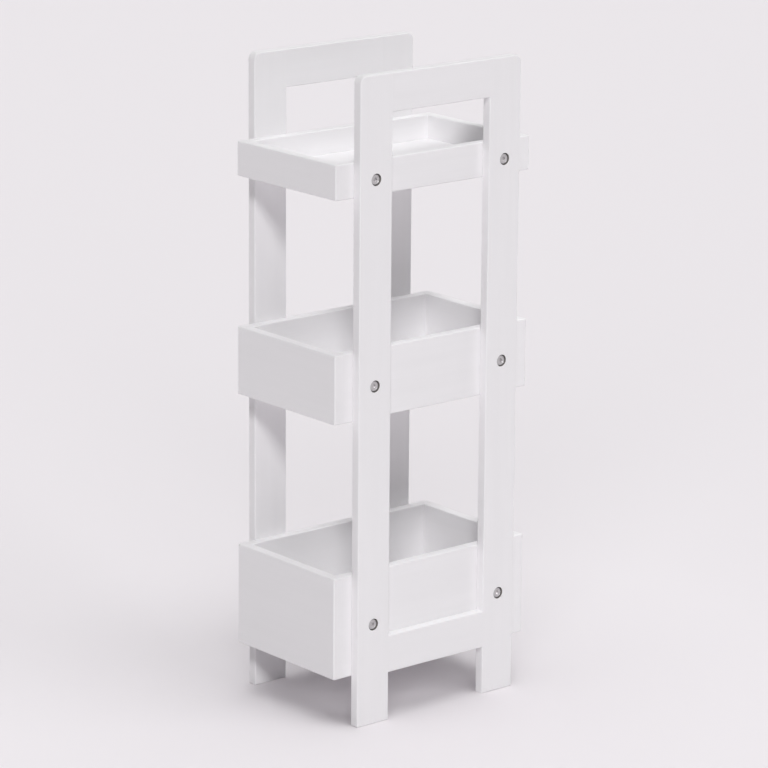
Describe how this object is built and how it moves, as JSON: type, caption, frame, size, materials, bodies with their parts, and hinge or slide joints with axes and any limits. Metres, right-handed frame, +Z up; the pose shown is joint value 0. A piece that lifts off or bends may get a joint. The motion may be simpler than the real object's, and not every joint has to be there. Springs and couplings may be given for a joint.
{
  "type": "shelving unit",
  "caption": "Narrow white bathroom shelving unit: open side frames on short legs carry open-topped trays, each deeper than the one above, bolted on through the posts.",
  "frame": {"origin": "on the floor, under the middle of the unit's box", "axes": "+Z up; -Y to the front, where a tray's short end faces; +X to the right-hand side frame"},
  "size_m": [0.2, 0.284, 0.75],
  "materials": {
    "frame_paint": "satin white paint",
    "tray_paint": "satin white paint",
    "bolt_steel": "zinc-plated",
    "insert_brass": "turned",
    "dowel_beech": "raw beech"
  },
  "bodies": {
    "root": {"left_front_post": "frame_paint", "left_back_post": "frame_paint", "left_top_rail": "frame_paint", "left_bottom_rail": "frame_paint", "right_front_post": "frame_paint", "right_back_post": "frame_paint", "right_top_rail": "frame_paint", "right_bottom_rail": "frame_paint", "top_tray_front": "tray_paint", "top_tray_back": "tray_paint", "top_tray_left": "tray_paint", "top_tray_right": "tray_paint", "top_tray_floor": "tray_paint", "middle_tray_front": "tray_paint", "middle_tray_back": "tray_paint", "middle_tray_left": "tray_paint", "middle_tray_right": "tray_paint", "middle_tray_floor": "tray_paint", "bottom_tray_front": "tray_paint", "bottom_tray_back": "tray_paint", "bottom_tray_left": "tray_paint", "bottom_tray_right": "tray_paint", "bottom_tray_floor": "tray_paint", "left_bolts": "bolt_steel", "right_bolts": "bolt_steel", "left_inserts": "insert_brass", "right_inserts": "insert_brass", "left_frame_dowels": "dowel_beech", "right_frame_dowels": "dowel_beech", "top_tray_dowels": "dowel_beech", "middle_tray_dowels": "dowel_beech", "bottom_tray_dowels": "dowel_beech"}
  },
  "joints": []
}
